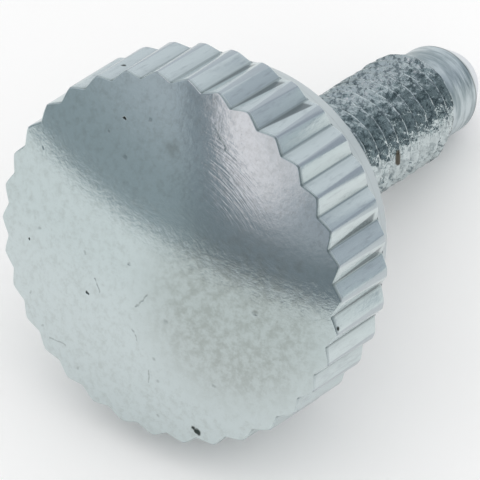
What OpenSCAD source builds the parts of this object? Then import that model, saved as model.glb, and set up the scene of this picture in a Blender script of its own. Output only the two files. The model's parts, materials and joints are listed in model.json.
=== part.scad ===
// Knurled thumb screw: a head with a domed face, a straight knurl and a tapered underside,
// a threaded shank and a plain pilot point. All lengths are in millimetres.
// The screw is drawn along +Z with its point up and the front edge of its knurl on z = 0,
// so that the dome is below z = 0. It is then laid on its side: it rests on two knurl crests
// at the back of the knurl and on the edge of its pilot.

/* [Head] */
// Diameter of the head over the knurl crests
head_d = 19.6; // [17:0.1:24]
// Height of the head, from the front edge of the knurl to the seat
head_h = 7.7; // [6.5:0.1:10]
// Length of the knurled rim, from its front edge to the back of the crests
knurl_l = 4.4; // [3:0.1:5]
// Diameter of the seat, where the taper under the head ends
seat_d = 15.7; // [11:0.1:16]
// Height of the domed face above the front edge of the knurl
dome_h = 1.4; // [0.6:0.1:2.4]

/* [Knurl] */
// Number of knurl teeth
teeth = 34; // [26:2:44]
// Depth of the knurl grooves below the crests
groove_depth = 0.45; // [0.25:0.05:0.7]
// Width of the flat left along the crest of each tooth
crest_w = 0.42; // [0.2:0.02:0.7]
// Slope of the short bevel that ends the knurl, measured from the screw axis
back_bevel_angle = 57; // [45:1:65]
// Step from the bottom of the grooves down to the taper, so that the bevel cuts them off
back_bevel_step = 0.1; // [0.05:0.05:0.3]

/* [Shank] */
// Major diameter of the thread
thread_d = 6; // [4:0.5:8]
// Length of the threaded shank, from the seat to its end bevel
thread_l = 15.8; // [10:0.2:30]
// Radius of the fillet between the seat and the shank
seat_fillet = 0.3; // [0.1:0.05:0.6]
// Slope of the bevel at the end of the thread, measured from the screw axis
thread_end_angle = 45; // [40:1:60]

/* [Point] */
// Diameter of the plain pilot beyond the thread
pilot_d = 4.8; // [3:0.1:5]
// Length of the pilot's cylinder, from the end of the thread
pilot_l = 2.9; // [2:0.1:5]
// Slope of the lead-in taper on the pilot, measured from the screw axis
lead_angle = 26; // [20:1:35]
// Radius of the rounded nose
nose_r = 1.9; // [1:0.1:2]

/* [Hidden] */
$fn = 96;
eps = 0.01;
overrun = 1;
zinc = [0.72, 0.76, 0.77];

head_r = head_d / 2;
seat_r = seat_d / 2;
thread_r = thread_d / 2;
pilot_r = pilot_d / 2;

// Knurl: angles round the head, and the point where its end bevel meets the taper.
tooth_angle = 360 / teeth;
crest_angle = 2 * asin(crest_w / head_d);
groove_half_angle = (tooth_angle - crest_angle) / 2;
groove_r = head_r - groove_depth;
bevel_r = groove_r - back_bevel_step;
bevel_z = knurl_l + (head_r - bevel_r) / tan(back_bevel_angle);

// Places along the screw axis.
thread_end_z = head_h + thread_l;
thread_bevel_z = thread_end_z - (thread_r - pilot_r) / tan(thread_end_angle);
lead_z = thread_end_z + pilot_l;
nose_tangent_r = nose_r * cos(lead_angle);
nose_tangent_z = lead_z + (pilot_r - nose_tangent_r) / tan(lead_angle);
nose_z = nose_tangent_z - nose_r * sin(lead_angle);

// The domed face is the cap of a large ball, and meets the crests at the front edge of the knurl.
dome_ball_r = (head_r * head_r + dome_h * dome_h) / (2 * dome_h);
dome_ball_z = dome_ball_r - dome_h;

// Lying at rest. The crests beside the lowest groove touch the floor, and so does the pilot:
// the tilt is the smallest one that brings any part of the shank down to the floor.
rest_r = head_r * cos(groove_half_angle);
tilt_to_pilot = atan((rest_r - pilot_r) / (lead_z - knurl_l));
tilt_to_nose = atan(rest_r / (nose_z - knurl_l)) - asin(nose_r / norm([rest_r, nose_z - knurl_l]));
tilt_to_thread = atan((rest_r - thread_r) / (thread_bevel_z - knurl_l));
tilt_to_seat = atan((rest_r - seat_r) / (head_h - knurl_l));
tilt = min(tilt_to_pilot, tilt_to_nose, tilt_to_thread, tilt_to_seat);
rest_height = knurl_l * sin(tilt) + rest_r * cos(tilt);
rest_x_rim = -rest_r * sin(tilt);
rest_x_dome = dome_ball_z * cos(tilt) - dome_ball_r;
rest_x_min = dome_ball_r * sin(tilt) < rest_r ? rest_x_dome : rest_x_rim;
rest_x_max = nose_z * cos(tilt) + nose_r;
rest_x_mid = (rest_x_min + rest_x_max) / 2;

// Outline of the head behind the dome, turned about the screw axis.
module head_profile() {
    polygon([
        [0, 0],
        [head_r, 0],
        [head_r, knurl_l],
        [bevel_r, bevel_z],
        [seat_r, head_h],
        [0, head_h]
    ]);
}

// Domed face: the slice of the large ball that stands proud of z = 0.
module face_dome() {
    intersection() {
        translate([0, 0, dome_ball_z])
            sphere(r = dome_ball_r);
        translate([0, 0, -dome_h - eps])
            cylinder(r = head_r, h = dome_h + 2 * eps);
    }
}

// One straight V groove, open at the edge of the dome, that the end bevel of the knurl cuts off.
// Its flanks pass through the edges of the crests on both sides and run on past them.
module knurl_groove() {
    crest_edge_y = head_r * sin(groove_half_angle);
    crest_edge_x = head_r * cos(groove_half_angle);
    flank_slope = crest_edge_y / (crest_edge_x - groove_r);
    mouth_x = head_r + overrun;
    mouth_y = flank_slope * (mouth_x - groove_r);
    translate([0, 0, -dome_h - overrun])
        linear_extrude(height = bevel_z + dome_h + overrun)
            polygon([
                [groove_r, 0],
                [mouth_x, mouth_y],
                [mouth_x, -mouth_y]
            ]);
}

module head() {
    difference() {
        union() {
            face_dome();
            rotate_extrude()
                head_profile();
        }
        for (i = [0 : teeth - 1])
            rotate([0, 0, i * tooth_angle])
                knurl_groove();
    }
}

// Concave fillet ring between the seat and the shank.
module seat_fillet_ring() {
    translate([0, 0, head_h - eps])
        rotate_extrude()
            difference() {
                square([thread_r + seat_fillet, seat_fillet + eps]);
                translate([thread_r + seat_fillet, seat_fillet + eps])
                    circle(r = seat_fillet);
            }
}

// Plain blank of the thread, at its major diameter, with the bevel at its end.
module threaded_shank() {
    translate([0, 0, head_h - eps])
        cylinder(r = thread_r, h = thread_bevel_z - head_h + eps);
    translate([0, 0, thread_bevel_z])
        cylinder(r1 = thread_r, r2 = pilot_r, h = thread_end_z - thread_bevel_z);
}

// Plain pilot with its lead-in taper and rounded nose.
module pilot_point() {
    translate([0, 0, thread_end_z - eps])
        cylinder(r = pilot_r, h = pilot_l + eps);
    translate([0, 0, lead_z])
        cylinder(r1 = pilot_r, r2 = nose_tangent_r, h = nose_tangent_z - lead_z);
    translate([0, 0, nose_z])
        sphere(r = nose_r);
}

// Lays the upright screw on the floor, with its axis in the XZ plane and its point towards +X.
module laid_at_rest() {
    translate([-rest_x_mid, 0, rest_height])
        rotate([0, 90 + tilt, 0])
            children();
}

module thumb_screw() {
    color(zinc)
        laid_at_rest()
            union() {
                head();
                seat_fillet_ring();
                threaded_shank();
                pilot_point();
            }
}

thumb_screw();
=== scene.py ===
# %% [markdown]
# # Knurled thumb screw
# A steel thumb screw with bright zinc plating lies on a white table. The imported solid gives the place,
# the tilt and the size. The visual model adds what a plain solid leaves out: the helix of the thread,
# small roundings on the edges and the marks of turning, rolling and plating.

# %% Load the frame
import json
import math

import bmesh
import bpy
from mathutils import Matrix, Vector, noise


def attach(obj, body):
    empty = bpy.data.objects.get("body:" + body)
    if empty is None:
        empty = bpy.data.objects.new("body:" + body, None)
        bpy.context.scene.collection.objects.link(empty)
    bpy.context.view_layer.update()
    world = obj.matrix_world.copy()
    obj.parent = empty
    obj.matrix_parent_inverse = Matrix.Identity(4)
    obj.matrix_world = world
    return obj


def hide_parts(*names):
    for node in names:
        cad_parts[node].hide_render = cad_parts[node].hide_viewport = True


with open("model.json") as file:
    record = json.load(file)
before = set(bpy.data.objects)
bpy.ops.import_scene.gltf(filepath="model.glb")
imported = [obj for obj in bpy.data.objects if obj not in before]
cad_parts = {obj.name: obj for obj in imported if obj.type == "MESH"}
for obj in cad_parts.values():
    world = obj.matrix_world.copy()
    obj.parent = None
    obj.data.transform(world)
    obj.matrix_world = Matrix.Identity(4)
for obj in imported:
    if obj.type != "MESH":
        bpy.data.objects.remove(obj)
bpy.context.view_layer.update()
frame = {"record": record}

# %% [markdown]
# ## Driving dimensions
# The sizes of the CAD source, in millimetres, and two more for the knurl: its grooves are shallower and
# its crests narrower at the front edge than at the back, while the solid's are alike all along. Positions
# along the screw run from the front edge of the knurl towards the point, so the dome of the face lies at
# negative values.

# %% Dimensions in millimetres
MM = 0.001

HEAD_R = 9.8
DOME_H = 1.4
KNURL_L = 4.4
HEAD_H = 7.7
SEAT_R = 7.85

TEETH = 34
GROOVE_DEPTH = 0.45
FRONT_DEPTH = 0.43
FRONT_CREST_W = 0.16
BACK_CREST_W = 0.42
BACK_BEVEL_ANGLE = math.radians(57)
BACK_BEVEL_STEP = 0.1

THREAD_R = 3.0
PITCH = 1.0
SEAT_FILLET = 0.3
THREAD_END = 23.5
THREAD_END_ANGLE = math.radians(45)

PILOT_R = 2.4
LEAD_START = 26.4
LEAD_ANGLE = math.radians(26)
NOSE_R = 1.9

DOME_BALL_R = (HEAD_R**2 + DOME_H**2) / (2 * DOME_H)
TOOTH_HALF = math.pi / TEETH
BEVEL_R = HEAD_R - GROOVE_DEPTH - BACK_BEVEL_STEP
BEVEL_END = KNURL_L + (HEAD_R - BEVEL_R) / math.tan(BACK_BEVEL_ANGLE)
print("knurl: %d teeth; dome: part of a ball of radius %.1f mm" % (TEETH, DOME_BALL_R))

# %% [markdown]
# The record's thread mount says where the screw's axis runs. Its position is the middle of the plain
# cylinder, so walking back along the axis gives the centre of the knurl's front edge.

# %% The screw's axis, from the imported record
thread_mount = next(m for m in frame["record"]["mounts"] if m["name"] == "thread")
THREAD_BEVEL_Z = THREAD_END - (THREAD_R - PILOT_R) / math.tan(THREAD_END_ANGLE)
mount_place = (HEAD_H + SEAT_FILLET + THREAD_BEVEL_Z) / 2
axis = Vector(thread_mount["axis"]).normalized()
rim_centre = Vector(thread_mount["pos_m"]) - axis * mount_place * MM
tilt = math.asin(-axis.z)
LAID = Matrix.Translation(rim_centre) @ Matrix.Rotation(math.radians(90) + tilt, 4, "Y")
print("tilt of the axis: %.2f degrees" % math.degrees(tilt))

# %% [markdown]
# ## The head
# The head is turned as one blank and its teeth are rolled in. Each column of the mesh is the outline of
# the blank at one angle across a tooth, so the dome, the grooves and the bevel behind them meet in true
# curved edges. One tooth is a grid bent to that shape, and a spin repeats it 34 times round the axis.


# %% Helpers for the outline of the head
# Roundings of the knurl's edges and of the seat, and blends of the crests at the back and the front.
EDGE_ROUND = 0.08
SEAT_ROUND = 0.12
BLEND = 0.05
FRONT_BLEND = 0.14


def soft_min(a, b, blend):
    """The smaller of two radii, with the crossing rounded over about blend millimetres."""
    return (a + b - math.sqrt((a - b) ** 2 + blend**2)) / 2


def dome_place(radius):
    """Place along the screw of the domed face at a radius."""
    return DOME_BALL_R - DOME_H - math.sqrt(DOME_BALL_R**2 - radius**2)


def knurl_radius(angle, place):
    """Radius of the knurled rim at an angle from the bottom of the nearest groove."""
    along = min(1, max(0, place / KNURL_L))
    valley = HEAD_R - (FRONT_DEPTH + (GROOVE_DEPTH - FRONT_DEPTH) * along)
    crest_w = FRONT_CREST_W + (BACK_CREST_W - FRONT_CREST_W) * along
    groove_half = TOOTH_HALF - math.asin(crest_w / 2 / HEAD_R)
    edge_x = HEAD_R * math.cos(groove_half)
    edge_y = HEAD_R * math.sin(groove_half)
    soft_angle = math.sqrt(angle**2 + (BLEND / HEAD_R) ** 2)
    flank = valley * edge_y / (edge_y * math.cos(soft_angle) - (edge_x - valley) * math.sin(soft_angle))
    return soft_min(flank, HEAD_R, FRONT_BLEND + (BLEND - FRONT_BLEND) * along)


def steps(a, b, count):
    """Count points from a to b, without a itself."""
    return [a + (b - a) * (i + 1) / count for i in range(count)]


def rounded(before, corner, after, size, count=4):
    """Points of a small rounding in place of a corner of the outline."""
    before, corner, after = Vector(before), Vector(corner), Vector(after)
    start = corner + (before - corner).normalized() * size
    end = corner + (after - corner).normalized() * size
    points = []
    for i in range(count + 1):
        t = i / count
        points.append(start * (1 - t) ** 2 + corner * 2 * t * (1 - t) + end * t**2)
    return points


# %% Outline of the head at one angle across a tooth
# Every column has the same points out to this radius. Beyond it they follow the groove or the crest.
DOME_SHARED_R = 9.0
DOME_RINGS = 28
EDGE_RINGS = 4
KNURL_RINGS = 9
TAPER_RINGS = (0.3, 0.6, 0.9)
SEAT_RINGS = 4
FILLET_RINGS = 5


def head_outline(angle):
    """Points (place, radius) from the middle of the face to the end of the fillet under the head."""
    front_r = knurl_radius(angle, 0)
    front = (dome_place(front_r), front_r)
    back_r = knurl_radius(angle, KNURL_L)
    back = (KNURL_L + (HEAD_R - back_r) / math.tan(BACK_BEVEL_ANGLE), back_r)
    bevel = (BEVEL_END, BEVEL_R)
    seat = (HEAD_H, SEAT_R)
    fillet_r = THREAD_R + SEAT_FILLET
    points = [Vector((dome_place(r), r)) for r in [0.0] + steps(0, DOME_SHARED_R, DOME_RINGS)]
    near_edge = front_r - EDGE_ROUND * 1.2
    points += [Vector((dome_place(r), r)) for r in steps(DOME_SHARED_R, near_edge, EDGE_RINGS)]
    points += rounded((dome_place(near_edge), near_edge), front, (KNURL_L, front_r), EDGE_ROUND)
    for place in steps(front[0] + EDGE_ROUND, back[0] - EDGE_ROUND, KNURL_RINGS)[:-1]:
        points.append(Vector((place, knurl_radius(angle, place))))
    points += rounded((0, back_r), back, bevel, EDGE_ROUND)
    points += rounded(back, bevel, seat, EDGE_ROUND * 2)
    points += [Vector(bevel).lerp(Vector(seat), t) for t in TAPER_RINGS]
    points += rounded(bevel, seat, (HEAD_H, fillet_r), SEAT_ROUND)
    points += [Vector((HEAD_H, r)) for r in steps(SEAT_R - SEAT_ROUND, fillet_r, SEAT_RINGS)]
    for turn in steps(0, math.pi / 2, FILLET_RINGS):
        place = HEAD_H + SEAT_FILLET * (1 - math.cos(turn))
        points.append(Vector((place, fillet_r - SEAT_FILLET * math.sin(turn))))
    return points


# %% One tooth as a bent grid, repeated round the axis
# Columns from a groove at 0 to a crest at 1, close together where the form bends.
ACROSS = [0.02, 0.05, 0.09, 0.14, 0.25, 0.4, 0.55, 0.67, 0.73, 0.79, 0.84, 0.88, 0.93, 1.0]
tooth_angles = [-t * TOOTH_HALF for t in reversed(ACROSS)] + [0.0] + [t * TOOTH_HALF for t in ACROSS]
ROWS = len(head_outline(0.0))
MERGE = 0.0008

screw = bmesh.new()
grid = bmesh.ops.create_grid(screw, x_segments=len(tooth_angles) - 1, y_segments=ROWS - 1, size=1)["verts"]
grid.sort(key=lambda v: (round(v.co.x, 5), round(v.co.y, 5)))
for column, angle in enumerate(tooth_angles):
    outline = head_outline(abs(angle))
    for vertex, (place, radius) in zip(grid[column * ROWS : (column + 1) * ROWS], outline):
        vertex.co = Vector((radius * math.cos(angle), radius * math.sin(angle), place)) * MM
bmesh.ops.spin(
    screw,
    geom=screw.verts[:] + screw.edges[:] + screw.faces[:],
    cent=(0, 0, 0),
    axis=(0, 0, 1),
    angle=math.tau * (TEETH - 1) / TEETH,
    steps=TEETH - 1,
    use_duplicate=True,
)
bmesh.ops.remove_doubles(screw, verts=screw.verts[:], dist=MERGE * MM)
print("head:", len(screw.verts), "vertices,", len(screw.faces), "faces")

# %% [markdown]
# ## The thread
# An M6 thread with its 1 mm pitch, rolled right-handed. Its profile over one pitch is carried once round
# the axis by a spin that also moves it along by a pitch. Copies of that turn are set end to end, and two
# flat cuts end it. The grooves fade in over the first millimetre behind the head. At the other end the
# last crest runs up to a steep shoulder, where the solid's plain blank has a bevel.


# %% Profile of the thread
THREAD_START = HEAD_H + SEAT_FILLET
THREAD_STEPS = 108
PROFILE_STEPS = 16
# A metric thread: 0.6134 of a pitch deep, flanks at 60 degrees to the axis, crests an eighth wide.
THREAD_DEPTH = 0.6134 * PITCH
FLANK_ANGLE = math.radians(60)
HALF_CREST = PITCH / 16
ROOT_BLEND = 0.09
CREST_BLEND = 0.1
# Where the roots fall along the screw, how far the grooves take to fade in, and the slope of the shoulder.
THREAD_PHASE = 0.36 * PITCH
FADE = 1.1
SHOULDER_ANGLE = math.radians(78)
# Nicks from rolling and handling: their depth, their mean and how many there are to the millimetre.
NICK_DEPTH = 0.045
NICK_MEAN = 0.6
COARSE_NICKS = 1.3
FINE_NICKS = 3.3
# The lengths stand this far apart until their open rings are joined.
HEAD_GAP = 0.01
PILOT_GAP = 0.02
HELIX_MERGE = 0.002


def thread_radius(part_of_pitch):
    """Radius of the thread at a part of the pitch, counted from the middle of a root."""
    from_crest = abs(part_of_pitch - 0.5) * PITCH
    flank = THREAD_R + (HALF_CREST - from_crest) * math.tan(FLANK_ANGLE)
    root = THREAD_R - THREAD_DEPTH
    return soft_min(-soft_min(-flank, -root, ROOT_BLEND), THREAD_R, CREST_BLEND)


# %% One turn by a spin, and copies of it end to end
first_turn = math.floor((THREAD_START - THREAD_PHASE) / PITCH) - 1
last_turn = math.ceil((THREAD_END - THREAD_PHASE) / PITCH)
helix = bmesh.new()
profile = []
for i in range(PROFILE_STEPS + 1):
    place = THREAD_PHASE + (first_turn + i / PROFILE_STEPS) * PITCH
    profile.append(helix.verts.new(Vector((thread_radius(i / PROFILE_STEPS), 0, place)) * MM))
edges = [helix.edges.new(pair) for pair in zip(profile, profile[1:])]
bmesh.ops.spin(
    helix,
    geom=profile + edges,
    cent=(0, 0, 0),
    axis=(0, 0, 1),
    dvec=(0, 0, PITCH * MM / THREAD_STEPS),
    angle=math.tau,
    steps=THREAD_STEPS,
)
one_turn = helix.verts[:] + helix.edges[:] + helix.faces[:]
for turn in range(1, last_turn - first_turn + 1):
    copied = bmesh.ops.duplicate(helix, geom=one_turn)["geom"]
    copied_verts = [v for v in copied if isinstance(v, bmesh.types.BMVert)]
    bmesh.ops.translate(helix, verts=copied_verts, vec=(0, 0, turn * PITCH * MM))
bmesh.ops.remove_doubles(helix, verts=helix.verts[:], dist=HELIX_MERGE * MM)
print("thread:", last_turn - first_turn + 1, "turns before the cuts")

# %% Cut the thread to length, and add its fade, nicks and shoulder
for place, side in ((THREAD_START + HEAD_GAP, -1), (THREAD_END, 1)):
    bmesh.ops.bisect_plane(
        helix,
        geom=helix.verts[:] + helix.edges[:] + helix.faces[:],
        dist=1e-9,
        plane_co=(0, 0, place * MM),
        plane_no=(0, 0, side),
        clear_outer=True,
    )
for vertex in helix.verts:
    place = vertex.co.z / MM
    radius = math.hypot(vertex.co.x, vertex.co.y) / MM
    fade = min(1, max(0, (place - THREAD_START) / FADE))
    wanted = THREAD_R + (radius - THREAD_R) * fade * fade * (3 - 2 * fade)
    nicks = NICK_MEAN + noise.noise(vertex.co / MM * COARSE_NICKS) + noise.noise(vertex.co / MM * FINE_NICKS)
    wanted = min(wanted - NICK_DEPTH * fade * nicks, THREAD_R)
    wanted = min(wanted, PILOT_R + max(0, THREAD_END - place) * math.tan(SHOULDER_ANGLE))
    vertex.co.x *= wanted / radius
    vertex.co.y *= wanted / radius
print("thread:", len(helix.verts), "vertices")

# %% [markdown]
# ## The pilot
# The plain pilot is turned: a short cylinder, a lead-in taper and a rounded nose. Its outline is spun a
# full turn. The nose ends a hair short of the solid's faceted one, so that the model stays inside the
# solid's box.

# %% Pilot by a spin of its outline
NOSE_SHORT = 0.004
LEAD_ROUND = 0.1
NOSE_RINGS = 14
PILOT_RINGS = (THREAD_END + PILOT_GAP, THREAD_END + 0.1, THREAD_END + 1.0, LEAD_START - 0.3)
LEAD_RINGS = (0.4, 0.7)
nose_tangent_r = NOSE_R * math.cos(LEAD_ANGLE)
nose_tangent = LEAD_START + (PILOT_R - nose_tangent_r) / math.tan(LEAD_ANGLE) - NOSE_SHORT
nose_centre = nose_tangent - NOSE_R * math.sin(LEAD_ANGLE)
lead = (LEAD_START, PILOT_R)
outline = [Vector((place, PILOT_R)) for place in PILOT_RINGS]
outline += rounded(outline[-1], lead, (nose_tangent, nose_tangent_r), LEAD_ROUND)
outline += [Vector(lead).lerp(Vector((nose_tangent, nose_tangent_r)), t) for t in LEAD_RINGS]
for turn in [LEAD_ANGLE] + steps(LEAD_ANGLE, math.pi / 2, NOSE_RINGS):
    outline.append(Vector((nose_centre + NOSE_R * math.sin(turn), NOSE_R * math.cos(turn))))

pilot = bmesh.new()
profile = [pilot.verts.new(Vector((max(r, 0), 0, s)) * MM) for s, r in outline]
edges = [pilot.edges.new(pair) for pair in zip(profile, profile[1:])]
bmesh.ops.spin(
    pilot,
    geom=profile + edges,
    cent=(0, 0, 0),
    axis=(0, 0, 1),
    angle=math.tau,
    steps=THREAD_STEPS,
    use_merge=True,
)
bmesh.ops.remove_doubles(pilot, verts=pilot.verts[:], dist=MERGE * MM)
print("pilot:", len(pilot.verts), "vertices")

# %% [markdown]
# ## One closed mesh
# The three lengths are joined ring to ring, so the screw stays one piece of metal with no seam. Then the
# faces are sorted by how they were made, and the whole mesh is laid on the floor along the CAD's axis.

# %% Join the lengths
# An edge belongs to a ring if both ends are this close to it.
RING_REACH = 0.004

for part in (helix, pilot):
    spare = bpy.data.meshes.new("spare")
    part.to_mesh(spare)
    screw.from_mesh(spare)
    part.free()
    bpy.data.meshes.remove(spare)


def open_ring(place):
    """Open edges whose two ends lie at that place along the screw."""
    return [
        edge
        for edge in screw.edges
        if edge.is_boundary and all(abs(v.co.z / MM - place) < RING_REACH for v in edge.verts)
    ]


for first, second in ((THREAD_START, THREAD_START + HEAD_GAP), (THREAD_END, THREAD_END + PILOT_GAP)):
    bmesh.ops.bridge_loops(screw, edges=open_ring(first) + open_ring(second))
print("open edges left:", sum(not edge.is_manifold for edge in screw.edges))
bmesh.ops.recalc_face_normals(screw, faces=screw.faces[:])
if screw.calc_volume(signed=True) < 0:
    bmesh.ops.reverse_faces(screw, faces=screw.faces[:])

# %% Sort the faces by how they were made, and lay the screw down
# The turned face ends here and looks forwards. The shoulder that ends the thread is turned, like the pilot.
FACE_BACK = 0.03
FACE_SLOPE = -0.8
SHOULDER_W = 0.05
FACE, KNURL, THREAD, PILOT = range(4)
for face in screw.faces:
    face.smooth = True
    place = face.calc_center_median().z / MM
    if place < FACE_BACK and face.normal.z < FACE_SLOPE:
        face.material_index = FACE
    elif place < THREAD_START:
        face.material_index = KNURL
    elif place < THREAD_END - SHOULDER_W:
        face.material_index = THREAD
    else:
        face.material_index = PILOT
bmesh.ops.transform(screw, matrix=LAID, verts=screw.verts[:])

mesh = bpy.data.meshes.new("thumb_screw_detailed")
screw.to_mesh(mesh)
screw.free()
piece = bpy.data.objects.new("thumb_screw_detailed", mesh)
bpy.context.collection.objects.link(piece)
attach(piece, "root")
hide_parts("thumb_screw")
print("whole screw:", len(mesh.polygons), "faces")

# %% [markdown]
# ## Materials
# Everything is one steel with bright zinc plating and a clear bluish passivation. It gives the eye a pale
# grey metal with a faint blue-green cast. What differs is the surface under the plating, so each length
# has its own finish. Patterns are drawn in the screw's own axes, in millimetres, so their scales are real
# sizes.


# %% Helpers for colours and nodes
def linear(code):
    """An sRGB hex code as a linear colour with alpha."""
    parts = [int(code[i : i + 2], 16) / 255 for i in (1, 3, 5)]
    return [c / 12.92 if c <= 0.04045 else ((c + 0.055) / 1.055) ** 2.4 for c in parts] + [1.0]


def add(tree, kind, *values, inputs=None, out=0, **settings):
    """Adds a node and gives one of its outputs, by name or index.

    The kind may be followed by an operation, as in "Math MULTIPLY". Values go to the first inputs in order,
    and the others are keyed by name or index. Each is a number, a vector, a colour or another node's output.
    """
    kind, _, operation = kind.partition(" ")
    made = tree.nodes.new("ShaderNode" + kind)
    if operation:
        made.operation = operation
    for name, value in settings.items():
        setattr(made, name, value)
    for key, value in [*enumerate(values), *(inputs or {}).items()]:
        if isinstance(value, bpy.types.NodeSocket):
            tree.links.new(value, made.inputs[key])
        else:
            made.inputs[key].default_value = value
    return made.outputs[out] if made.outputs else None


# %% Helpers for patterns
def ease(tree, value, start, end):
    """0 before start, 1 after end and a smooth step between."""
    limits = {"Value": value, "From Min": start, "From Max": end}
    return add(tree, "MapRange", inputs=limits, out="Result", interpolation_type="SMOOTHSTEP")


def between(tree, value, start, end, soft):
    """1 where a value lies between two others, with soft edges."""
    rise = ease(tree, value, start - soft / 2, start + soft / 2)
    fall = ease(tree, value, end + soft / 2, end - soft / 2)
    return add(tree, "Math MULTIPLY", rise, fall)


def strongest(tree, *patterns):
    """The strongest of several patterns at each place, so that marks that meet don't add up."""
    total = 0.0
    for pattern in patterns:
        total = add(tree, "Math MAXIMUM", pattern, total)
    return total


def specks(tree, place, per_mm, detail, roughness, start, end):
    """Uneven specks, so many to the millimetre, that set in where the noise passes from start to end."""
    inputs = {"Vector": place, "Scale": per_mm, "Detail": detail, "Roughness": roughness}
    return ease(tree, add(tree, "TexNoise", inputs=inputs), start, end)


def near(tree, place, centre, outer, inner):
    """1 closer to a centre than inner and 0 beyond outer, in millimetres."""
    return ease(tree, add(tree, "VectorMath DISTANCE", place, centre, out="Value"), outer, inner)


def spots(tree, place, centres, soft=0.5):
    """1 inside round spots. Each centre is x, y, z and a radius in millimetres."""
    drawn = [near(tree, place, (x, y, z), size, size * (1 - soft)) for x, y, z, size in centres]
    return strongest(tree, *drawn)


def scratches(tree, place, lines, width):
    """1 along straight scratches. Each runs between two places in millimetres."""
    drawn = []
    for start, end in lines:
        run = Vector(end) - Vector(start)
        from_start = add(tree, "VectorMath SUBTRACT", place, start)
        part = add(tree, "VectorMath DOT_PRODUCT", from_start, run / run.length_squared, out="Value")
        part = add(tree, "Math MINIMUM", add(tree, "Math MAXIMUM", part, 0.0), 1.0)
        nearest = add(tree, "VectorMath SCALE", run, inputs={"Scale": part})
        drawn.append(near(tree, from_start, nearest, width, width * 0.4))
    return strongest(tree, *drawn)


def ragged(tree, place, reach):
    """A place moved about by noise, so that what is drawn there gets an uneven edge."""
    inputs = {"Vector": place, "Scale": 3.0, "Detail": 2.0}
    noise_colour = add(tree, "TexNoise", inputs=inputs, out="Color")
    shift = add(tree, "VectorMath SUBTRACT", noise_colour, (0.5, 0.5, 0.5))
    return add(tree, "VectorMath MULTIPLY_ADD", shift, (reach, reach, reach), place)


def layered(tree, colour, *layers):
    """A colour with others laid over it in turn, each by its own amount."""
    for amount, over in layers:
        inputs = {0: amount, 6: colour, 7: over}
        colour = add(tree, "Mix", inputs=inputs, out=2, data_type="RGBA")
    return colour


def relief(tree, *patterns):
    """The normal of a surface with height patterns laid over it, each with its full depth in millimetres."""
    normal = None
    for height, depth in patterns:
        inputs = {"Height": height, "Strength": 1.0, "Distance": depth * MM}
        if normal:
            inputs["Normal"] = normal
        normal = add(tree, "Bump", inputs=inputs)
    return normal


# %% The screw's own axes, and the directions of the marks on it
def screw_axes(tree):
    """Place on the screw in millimetres: z runs along the screw from the front edge of the knurl."""
    place = add(tree, "TexCoord", out="Object")
    inputs = {"Vector": place, "Location": rim_centre, "Rotation": LAID.to_euler(), "Scale": (MM, MM, MM)}
    return add(tree, "Mapping", inputs=inputs, vector_type="TEXTURE")


def along_screw(tree, place):
    """How far along the screw a place is, in millimetres from the front edge of the knurl."""
    return add(tree, "SeparateXYZ", place, out="Z")


def away_from_axis(tree, place):
    """The unit direction away from the screw's axis."""
    return add(tree, "VectorMath NORMALIZE", add(tree, "VectorMath MULTIPLY", place, (1, 1, 0)))


def world_direction(tree, direction):
    """A direction in the screw's axes as one in the world, for a shader's tangent."""
    inputs = {"Vector": direction, "Rotation": LAID.to_euler()}
    return add(tree, "Mapping", inputs=inputs, vector_type="VECTOR")


def ring_noise(tree, place, per_mm, round_scale, detail):
    """Noise drawn out round the axis, as turning leaves it. It has no seam."""
    flat = add(tree, "VectorMath MULTIPLY", place, (1, 1, 0))
    radius = add(tree, "VectorMath LENGTH", flat, out="Value")
    reach = add(tree, "Math ADD", radius, along_screw(tree, place))
    across = add(tree, "CombineXYZ", inputs={"Z": add(tree, "Math MULTIPLY", reach, per_mm)})
    round_axis = add(tree, "VectorMath SCALE", away_from_axis(tree, place), inputs={"Scale": round_scale})
    drawn_out = add(tree, "VectorMath ADD", round_axis, across)
    return add(tree, "TexNoise", inputs={"Vector": drawn_out, "Scale": 1.0, "Detail": detail})


def plated_steel(name):
    """A metal for one finish of the plated steel: its tree, its shader and the place on the screw."""
    material = bpy.data.materials.new(name)
    material.use_nodes = True
    tree = material.node_tree
    shader = tree.nodes["Principled BSDF"]
    shader.inputs["Metallic"].default_value = 1.0
    mesh.materials.append(material)
    return tree, shader, screw_axes(tree)


# %% [markdown]
# The face is faced off on a lathe and then plated. The tool leaves fine rings, so reflections smear along
# the radius and stay sharp across it. The real rings are too fine to show, so they are drawn about 0.2 mm
# wide. Handling has left small pits, a few scratches and a dull, freckled patch.

# %% Marks on the face, as x and y from its middle, z 0 and a radius, in millimetres
PITS = (
    # x and y across the face from its middle, z 0, and the radius, in millimetres
    (8.3, -3.4, 0, 0.24),
    (8.15, -3.2, 0, 0.18),
    (3.1, 3.6, 0, 0.13),
    (-6.6, 3.6, 0, 0.11),
    (2.0, 7.6, 0, 0.11),
)
FAINT_PITS = (
    (2.6, -1.1, 0, 0.16),
    (1.1, 7.1, 0, 0.18),
    (6.2, -1.0, 0, 0.14),
    (8.3, -1.2, 0, 0.14),
    (5.0, -0.7, 0, 0.12),
    (0.4, 1.5, 0, 0.14),
    (1.0, 4.1, 0, 0.13),
    (7.8, 3.7, 0, 0.15),
    (-5.6, 4.3, 0, 0.15),
    (-4.8, 3.0, 0, 0.2),
    (-3.1, 7.8, 0, 0.14),
    (-7.1, 2.2, 0, 0.18),
    (6.4, 6.1, 0, 0.14),
    (4.9, 7.1, 0, 0.12),
    (5.1, -4.1, 0, 0.16),
    (0.2, -5.6, 0, 0.22),
)
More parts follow.
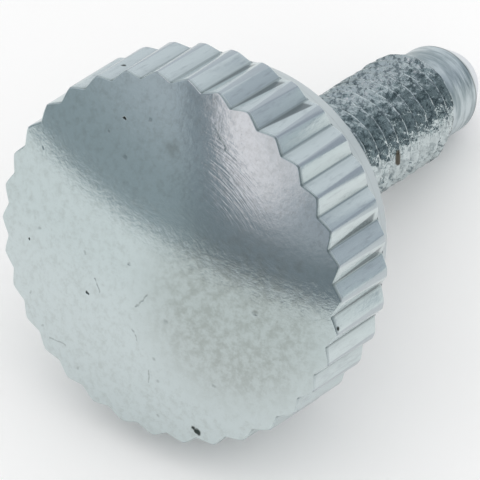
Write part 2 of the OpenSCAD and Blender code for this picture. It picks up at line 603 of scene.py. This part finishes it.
BLOTS = (
    (-6.3, 0.6, 0, 0.7),
    (3.5, -1.9, 0, 0.5),
    (3.5, -7.3, 0, 0.5),
    (3.1, -6.4, 0, 0.4),
    (4.6, -5.9, 0, 0.5),
    (-0.1, -6.8, 0, 0.5),
    (-2.9, -7.2, 0, 0.7),
)
SCRATCHES = (
    ((2.11, 3.26, 0), (2.68, 2.86, 0)),
    ((1.57, 0.13, 0), (2.52, 0.69, 0)),
    ((6.91, 5.60, 0), (6.83, 4.54, 0)),
    ((3.85, 0.73, 0), (4.34, 0.37, 0)),
    ((5.82, -0.49, 0), (6.54, -0.55, 0)),
    ((-8.06, -1.31, 0), (-7.16, -2.2, 0)),
)

# %% Turned face
ZINC = linear("#C9D3D4")
ZINC_DULL = linear("#A4ABA8")
# Dark of the real pits and scratches, also used as painted shade at the pilot's edge.
PIT_AND_PAINTED_SHADE = linear("#39403E")
FACE_ROUGHNESS = 0.095
DULL_ROUGHER = 0.07
SCRATCH_W = 0.055
DULL_CENTRE = (0.9, -4.6, -0.9)
STREAK_CENTRE = (-5.6, -2.6, -0.8)

tree, shader, place = plated_steel("bright_zinc_plated_steel_turned_face")
across_face = add(tree, "VectorMath MULTIPLY", place, (1, 1, 0))
uneven_face = ragged(tree, across_face, 0.3)

freckles = add(tree, "Math MULTIPLY_ADD", specks(tree, place, 2.1, 8.0, 0.76, 0.4, 0.62), 0.45, 0.45)
dull_patch = add(tree, "Math MULTIPLY", near(tree, place, DULL_CENTRE, 6.8, 2.5), freckles)
mottle = add(tree, "Math MULTIPLY", specks(tree, place, 2.3, 8.0, 0.78, 0.44, 0.66), 0.35)
blots = add(tree, "Math MULTIPLY", spots(tree, ragged(tree, across_face, 0.9), BLOTS, 0.9), 0.7)
dullness = strongest(tree, dull_patch, mottle, blots)

faint_pits = add(tree, "Math MULTIPLY", spots(tree, uneven_face, FAINT_PITS, 0.8), 0.3)
scratched = add(tree, "Math MULTIPLY", scratches(tree, uneven_face, SCRATCHES, SCRATCH_W), 0.35)
marks = strongest(tree, faint_pits, scratched, spots(tree, uneven_face, PITS))

face_colour = layered(tree, ZINC, (dullness, ZINC_DULL), (marks, PIT_AND_PAINTED_SHADE))
face_roughness = add(tree, "Math MULTIPLY_ADD", dullness, DULL_ROUGHER, FACE_ROUGHNESS)
tree.links.new(face_colour, shader.inputs["Base Color"])
tree.links.new(face_roughness, shader.inputs["Roughness"])
shader.inputs["Anisotropic"].default_value = 0.3
tree.links.new(world_direction(tree, away_from_axis(tree, place)), shader.inputs["Tangent"])

# %% Relief of the face: waviness, fine rings, a patch of streaks, and the pits and scratches
streak_patch = near(tree, place, STREAK_CENTRE, 3.8, 1.0)
streaks = add(tree, "Math MULTIPLY", ring_noise(tree, place, 8.0, 5.0, 2.0), streak_patch)
waviness = add(tree, "TexNoise", inputs={"Vector": place, "Scale": 2.1, "Detail": 6.0, "Roughness": 0.66})
face_relief = relief(
    tree,
    (waviness, 0.008),
    (ring_noise(tree, place, 5.0, 1.6, 3.0), 0.0009),
    (streaks, 0.006),
    (add(tree, "Math SUBTRACT", 1.0, marks), 0.02),
)
tree.links.new(face_relief, shader.inputs["Normal"])
print("turned face:", len(tree.nodes), "nodes,", len(PITS + FAINT_PITS + SCRATCHES), "pits and scratches")

# %% [markdown]
# The knurl is rolled: a wheel presses the grooves in and burnishes their flanks, with fine streaks along
# them, drawn about 0.2 mm wide and a millimetre long. Painted shade darkens the bottom of the grooves,
# and in some grooves it also covers a widening part of one flank. Handling has rubbed the front edges
# satin. The taper behind is turned and duller, with one fine ring of painted shade where the tool left a
# step.

# %% Colours and marks of the knurl and the taper
WORN_ZINC = linear("#B9C2C4")
CREST_ZINC = linear("#B1B9BE")
TAPER_ZINC = linear("#ACB8BC")
# Painted shade for the groove bottoms, and a darker painted shade for one flank and for a ring on the taper.
PAINTED_GROOVE_SHADE = linear("#8F9B9C")
PAINTED_DEEP_SHADE = linear("#586367")
RIM_PITS = (
    (-7.65, -4.35, 6.1, 0.2),
    (-7.81, 5.41, 1.82, 0.2),
    (-0.26, -9.6, 0.1, 0.15),
    (2.22, -9.34, 0.3, 0.15),
)
# Where painted shade darkens one flank: angles round the head from and to in degrees, and the side of the
# groove.
SHADED_FLANKS = ((172, 206, 1), (240, 300, -1))
FLANK_SHADE_SOFT = 4
# Places along the screw, in millimetres.
KNURL_FADE = (4.7, 4.5)
FLANK_SHADE_FADE = (4.3, 4.0)
FRONT_EDGE_FADE = (0.14, 0.04)
# Places of a ring of painted shade on the taper, where the tool left a step.
PAINTED_RING_SHADE = (5.95, 6.05)


# %% Where a point lies in its tooth, and the painted shade on one flank
def tooth_phase(tree, place):
    """Angle round the head in degrees, and the place in the tooth: 0 in a groove and 1 or -1 on a crest."""
    x = add(tree, "SeparateXYZ", place, out="X")
    y = add(tree, "SeparateXYZ", place, out="Y")
    turn = add(tree, "Math ARCTAN2", y, x)
    degrees = add(tree, "Math WRAP", add(tree, "Math MULTIPLY", turn, 180 / math.pi), 360.0, 0.0)
    signed = add(tree, "Math WRAP", add(tree, "Math MULTIPLY", turn, 1 / TOOTH_HALF), 1.0, -1.0)
    return degrees, signed


def painted_flank_shade(tree, signed, along, degrees, start, end, side):
    """Painted shade: 1 on one flank of the grooves between two angles, wider towards the back."""
    width = add(tree, "Math MULTIPLY_ADD", along, 0.12, 0.06)
    across = add(tree, "Math SUBTRACT", add(tree, "Math MULTIPLY", signed, side), width)
    on_flank = ease(tree, signed, -0.03 * side, 0.05 * side)
    shaded = add(tree, "Math MULTIPLY", ease(tree, across, 0.06, -0.06), on_flank)
    return add(tree, "Math MULTIPLY", shaded, between(tree, degrees, start, end, FLANK_SHADE_SOFT))


# %% Rolled knurl and turned taper
tree, shader, place = plated_steel("bright_zinc_plated_steel_rolled_knurl")
along = along_screw(tree, place)
degrees, signed = tooth_phase(tree, place)
phase = add(tree, "Math ABSOLUTE", signed)
on_knurl = ease(tree, along, *KNURL_FADE)

# Painted shade: a dark line and a faint haze at the bottom of every groove.
bottom_line = add(tree, "Math MULTIPLY", ease(tree, phase, 0.13, 0.05), 0.75)
bottom_haze = add(tree, "Math MULTIPLY", ease(tree, phase, 0.5, 0.1), 0.2)
groove_shade = add(tree, "Math MULTIPLY", strongest(tree, bottom_line, bottom_haze), on_knurl)
# Painted shade on one flank of some grooves, fading out before the taper.
flank_shade = strongest(tree, *[painted_flank_shade(tree, signed, along, degrees, *flank) for flank in SHADED_FLANKS])
flank_shade = add(tree, "Math MULTIPLY", flank_shade, ease(tree, along, *FLANK_SHADE_FADE))

crest_edge = add(tree, "Math MULTIPLY_ADD", along, -0.035, 0.91)
crest = ease(tree, add(tree, "Math SUBTRACT", phase, crest_edge), -0.03, 0.03)
crest = add(tree, "Math MULTIPLY", crest, on_knurl)
stretched = add(tree, "VectorMath MULTIPLY", place, (1, 1, 0.16))
inputs = {"Vector": stretched, "Scale": 5.0, "Detail": 3.0, "Roughness": 0.6}
rolling_marks = add(tree, "TexNoise", inputs=inputs)
taper = ease(tree, along, BEVEL_END - 0.1, BEVEL_END + 0.05)

head_colour = layered(
    tree,
    ZINC,
    (ease(tree, rolling_marks, 0.5, 0.75), WORN_ZINC),
    (add(tree, "Math MULTIPLY", crest, 0.8), CREST_ZINC),
    (taper, TAPER_ZINC),
    # Painted shade in the groove bottoms, on one flank of some grooves and as one ring on the taper.
    (groove_shade, PAINTED_GROOVE_SHADE),
    (add(tree, "Math MULTIPLY", flank_shade, 0.85), PAINTED_DEEP_SHADE),
    (add(tree, "Math MULTIPLY", between(tree, along, *PAINTED_RING_SHADE, 0.12), 0.4), PAINTED_DEEP_SHADE),
    (spots(tree, ragged(tree, place, 0.2), RIM_PITS), PIT_AND_PAINTED_SHADE),
)
tree.links.new(head_colour, shader.inputs["Base Color"])

# %% Satin and relief of the knurl and the taper
KNURL_ROUGHNESS = 0.2
front_satin = add(tree, "Math MULTIPLY", ease(tree, along, *FRONT_EDGE_FADE), 0.28)
taper_satin = add(tree, "Math MULTIPLY", taper, 0.12)
satin = strongest(tree, front_satin, taper_satin)
tree.links.new(add(tree, "Math ADD", satin, KNURL_ROUGHNESS), shader.inputs["Roughness"])
waviness = add(tree, "TexNoise", inputs={"Vector": place, "Scale": 3.5, "Detail": 3.0})
tree.links.new(relief(tree, (rolling_marks, 0.006), (waviness, 0.006)), shader.inputs["Normal"])
print("rolled knurl:", len(tree.nodes), "nodes,", len(RIM_PITS), "pits")

# %% [markdown]
# The thread is rolled too, but its plating is rough: grains of about 0.3 mm and small nicks break its
# reflections into specks. One side has been rubbed smoother, and a dark rusty stain sits on one flank.

# %% Rolled thread
GRAIN_DARK = linear("#818D91")
GRAIN_LIGHT = linear("#CAD3D4")
STAIN = linear("#453C2C")
STAIN_LINE = (((-0.80, -2.78, 17.43), (-0.15, -2.89, 17.47)),)
STAIN_W = 0.17
RUBBED_SIDE = (0, -1, 0)
RUBBED_EDGE = 0.965

tree, shader, place = plated_steel("bright_zinc_plated_steel_rolled_thread")
facing = add(tree, "VectorMath DOT_PRODUCT", away_from_axis(tree, place), RUBBED_SIDE, out="Value")
roughened = add(tree, "Math MULTIPLY_ADD", ease(tree, facing, RUBBED_EDGE, 1.0), -0.5, 1.0)
dark_grains = add(tree, "Math MULTIPLY", specks(tree, place, 3.2, 6.0, 0.75, 0.52, 0.4), roughened)
stained = scratches(tree, ragged(tree, place, 0.12), STAIN_LINE, STAIN_W)
stained = add(tree, "Math MULTIPLY", stained, 0.9)
thread_colour = layered(tree, GRAIN_LIGHT, (dark_grains, GRAIN_DARK), (stained, STAIN))
tree.links.new(thread_colour, shader.inputs["Base Color"])
shader.inputs["Roughness"].default_value = 0.13

rough_patches = add(tree, "Math MULTIPLY_ADD", specks(tree, place, 0.9, 2.0, 0.5, 0.4, 0.62), 0.75, 0.6)
grain_height = add(tree, "Math MULTIPLY", roughened, rough_patches)
grains = add(tree, "Math MULTIPLY", ring_noise(tree, place, 3.6, 5.5, 3.0), grain_height)
tree.links.new(relief(tree, (grains, 0.13)), shader.inputs["Normal"])
print("rolled thread:", len(tree.nodes), "nodes")

# %% [markdown]
# The pilot is turned with a coarser feed, which leaves faint rings of about 0.4 mm and a duller surface.
# The nose is lighter, and a line of painted shade marks the edge where its taper begins.

# %% Turned pilot
RING_DARK = linear("#97A4A8")
RING_LIGHT = linear("#C4CED1")
NOSE_ZINC = linear("#D3D8DD")

tree, shader, place = plated_steel("bright_zinc_plated_steel_turned_pilot")
along = along_screw(tree, place)
rings = ease(tree, ring_noise(tree, place, 2.4, 1.4, 5.0), 0.36, 0.62)
nose = ease(tree, along, LEAD_START + 0.1, LEAD_START + 0.5)
# Painted shade: a dark line at the edge where the lead-in taper begins.
painted_edge_shade = between(tree, along, LEAD_START - 0.08, LEAD_START + 0.06, 0.1)
painted_edge_shade = add(tree, "Math MULTIPLY", painted_edge_shade, 0.6)
pilot_colour = layered(tree, RING_DARK, (rings, RING_LIGHT), (nose, NOSE_ZINC), (painted_edge_shade, PIT_AND_PAINTED_SHADE))
tree.links.new(pilot_colour, shader.inputs["Base Color"])
shader.inputs["Roughness"].default_value = 0.32
coarse_rings = ring_noise(tree, place, 3.0, 1.4, 4.0)
dents = add(tree, "TexNoise", inputs={"Vector": place, "Scale": 3.0, "Detail": 4.0, "Roughness": 0.6})
tree.links.new(relief(tree, (coarse_rings, 0.06), (dents, 0.02)), shader.inputs["Normal"])
print("turned pilot:", len(tree.nodes), "nodes")

# %% [markdown]
# ## Table, room and light
# The screw lies on a white table with painted shade: a trace darker away from the screw, as the light falls
# off.
# Its plating mirrors the room: a slate-blue wall, a low pinkish window on the side that the face looks at,
# and a dark room behind.
# Diffuse light comes evenly from all round, as from a light tent. So the world sorts the rays: those that
# the metal mirrors see the room, and all others see even white, also the glossy ones that come after a
# matt bounce.

# %% Table, in metres
TABLE_R = 0.125
# Painted shade: the table turns a trace darker between these distances from the middle, as light falls off.
TABLE_SHADE_FADE = (0.02, 0.055)
TABLE_NEAR = linear("#FFFFFF")
TABLE_PAINTED_SHADE = linear("#F5F8F8")

bpy.ops.mesh.primitive_circle_add(vertices=96, radius=TABLE_R, fill_type="NGON", location=(0, 0, 0))
floor = bpy.context.object
floor.name = "floor"
material = bpy.data.materials.new("white_table")
material.use_nodes = True
tree = material.node_tree
paint = tree.nodes["Principled BSDF"]
paint.inputs["Roughness"].default_value = 1.0
paint.inputs["Specular IOR Level"].default_value = 0.0
far = add(tree, "VectorMath LENGTH", add(tree, "TexCoord", out="Object"), out="Value")
table_shaded_white = layered(tree, TABLE_NEAR, (ease(tree, far, *TABLE_SHADE_FADE), TABLE_PAINTED_SHADE))
tree.links.new(table_shaded_white, paint.inputs["Base Color"])
floor.data.materials.append(material)
print("table:", round(2000 * TABLE_R), "mm across")

# %% Room, drawn by direction, with linear colours because one pane is brighter than white
ROOM_LIGHT = (0.80, 0.83, 0.87, 1)
ROOM = (
    # what it is, bearings from and to, softness, heights from and to, softness, lean, colour
    ("ceiling", -90, 450, 1, 62, 120, 20, 0, (0.56, 0.61, 0.64, 1)),
    ("side wall", 45, 112, 20, -20, 62, 20, 0, (0.50, 0.54, 0.56, 1)),
    ("slate wall", 104, 186, 10, -20, 60, 16, 0, (0.56, 0.60, 0.65, 1)),
    ("foot of the slate wall", 104, 186, 10, -20, 9, 18, 0, (0.35, 0.41, 0.44, 1)),
    ("grey wall", 316, 349, 10, -20, 62, 20, 0, (0.53, 0.57, 0.63, 1)),
    ("skirting", 318, 400, 10, -20, 2, 5, 0, (0.56, 0.62, 0.66, 1)),
    ("dark side", 184, 314, 10, -20, 75, 20, 0, (0.17, 0.21, 0.23, 1)),
    ("low wall", 160, 195, 8, -20, 4, 8, 0.7, (0.22, 0.26, 0.29, 1)),
    ("door edge", 164, 180, 4, -20, 34, 6, 0.7, (0.25, 0.29, 0.33, 1)),
    ("window", 172, 189, 3, 6, 50, 12, 0.7, (0.86, 0.81, 0.85, 1)),
    ("bright pane", 172, 180, 3, 8, 50, 8, 0.7, (1.12, 1.02, 1.06, 1)),
    ("grey pane", 176, 195, 8, 5, 13, 7, 0, (0.40, 0.43, 0.48, 1)),
)


def room_colour(tree):
    """Colour of the room by direction. Bearings run anticlockwise from +X, seen from above."""
    way = add(tree, "TexCoord", out="Generated")
    x, y, z = (add(tree, "SeparateXYZ", way, out=name) for name in "XYZ")
    bearing = add(tree, "Math MULTIPLY", add(tree, "Math ARCTAN2", y, x), 180 / math.pi)
    bearing = add(tree, "Math WRAP", bearing, 360.0, 0.0)
    height = add(tree, "Math MULTIPLY", add(tree, "Math ARCSINE", z), 180 / math.pi)

    fields = []
    for name, start, end, side_soft, low, high, level_soft, lean, tone in ROOM:
        leaning = add(tree, "Math MULTIPLY_ADD", height, lean, bearing)
        sides = between(tree, leaning, start, end, side_soft)
        levels = between(tree, height, low, high, level_soft)
        fields.append((add(tree, "Math MULTIPLY", sides, levels), tone))
        print("room:", name)
    return layered(tree, ROOM_LIGHT, *fields)


# %% World
EVEN_WHITE = (1, 1, 1, 1)

world = bpy.data.worlds.new("room")
bpy.context.scene.world = world
world.use_nodes = True
tree = world.node_tree
tree.nodes.clear()
mirrored = add(tree, "Background", inputs={"Color": room_colour(tree), "Strength": 1.0})
even = add(tree, "Background", inputs={"Color": EVEN_WHITE, "Strength": 1.0})
after_matt = add(tree, "Math GREATER_THAN", add(tree, "LightPath", out="Diffuse Depth"), 0.5)
seen_in_metal = add(tree, "Math SUBTRACT", add(tree, "LightPath", out="Is Glossy Ray"), after_matt)
add(tree, "OutputWorld", inputs={"Surface": add(tree, "MixShader", seen_in_metal, even, mirrored)})
print("world:", len(tree.nodes), "nodes")

# %% [markdown]
# ## Camera
# A long lens looks down on the lying screw from the side of its face.

# %% Camera
LOOK = Vector((0.6008, 0.3880, -0.6990)).normalized()
AIM_FROM_RIM = Vector((2.407, -2.537, 0.660))
DISTANCE = 392
LENS = 598.8
SENSOR = 36

camera_data = bpy.data.cameras.new("camera")
camera = bpy.data.objects.new("camera", camera_data)
bpy.context.collection.objects.link(camera)
camera.location = rim_centre + AIM_FROM_RIM * MM - LOOK * DISTANCE * MM
camera.rotation_mode = "QUATERNION"
camera.rotation_quaternion = LOOK.to_track_quat("-Z", "Y")
camera_data.lens = LENS
camera_data.sensor_width = SENSOR
camera_data.clip_start = 0.01
camera_data.clip_end = 10
bpy.context.scene.camera = camera
bpy.context.scene.view_settings.view_transform = "Standard"
print("camera at (mm):", [round(1000 * part, 1) for part in camera.location])
